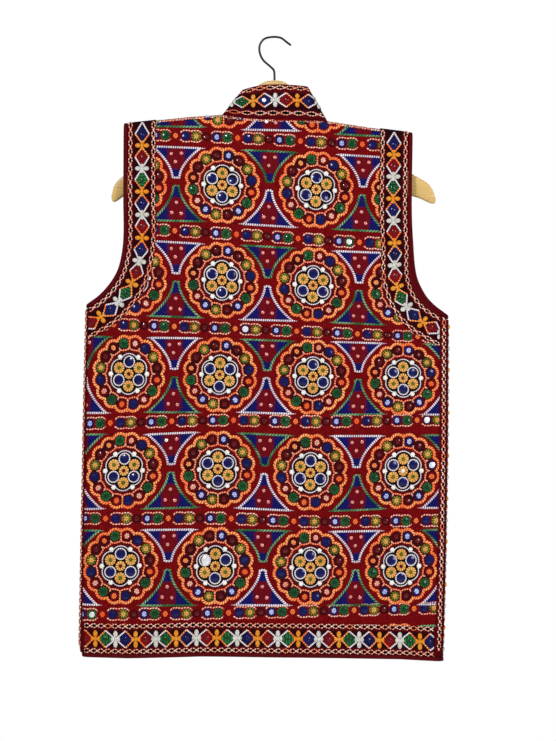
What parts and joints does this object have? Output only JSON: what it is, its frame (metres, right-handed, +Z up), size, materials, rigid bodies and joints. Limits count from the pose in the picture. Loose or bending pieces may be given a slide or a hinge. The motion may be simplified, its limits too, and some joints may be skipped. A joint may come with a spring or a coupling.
{
  "type": "embroidered vest on a wooden hanger",
  "caption": "Sleeveless vest with stand collar, all-over medallion embroidery with mirror dots and border strips, hung on a plain wooden hanger.",
  "frame": {"origin": "inner top of the hanger's hook, where a rail holds it", "axes": "+Z up, -Y the way the vest's back faces, +X to the right as the back is seen"},
  "size_m": [0.5057, 0.0543, 0.8563],
  "materials": {
    "ground_cloth": "closely embroidered cotton",
    "border_cloth": "embroidered border strip, dark ground",
    "binding_cloth": "plain woven binding",
    "lacquered_wood": "clear lacquer",
    "steel_wire": "polished"
  },
  "bodies": {
    "root": {"back_panel": "ground_cloth", "front_left": "ground_cloth", "front_right": "ground_cloth", "collar": "border_cloth", "armhole_band_back_left": "border_cloth", "armhole_band_back_right": "border_cloth", "armhole_band_front_left": "border_cloth", "armhole_band_front_right": "border_cloth", "armhole_binding_left": "binding_cloth", "armhole_binding_right": "binding_cloth", "side_band_left": "border_cloth", "side_band_right": "border_cloth", "hem_band_back": "border_cloth", "hem_band_front_left": "border_cloth", "hem_band_front_right": "border_cloth", "hem_binding_back": "binding_cloth", "hem_binding_front_left": "binding_cloth", "hem_binding_front_right": "binding_cloth", "hanger_bar": "lacquered_wood", "hanger_hook": "steel_wire"}
  },
  "joints": []
}
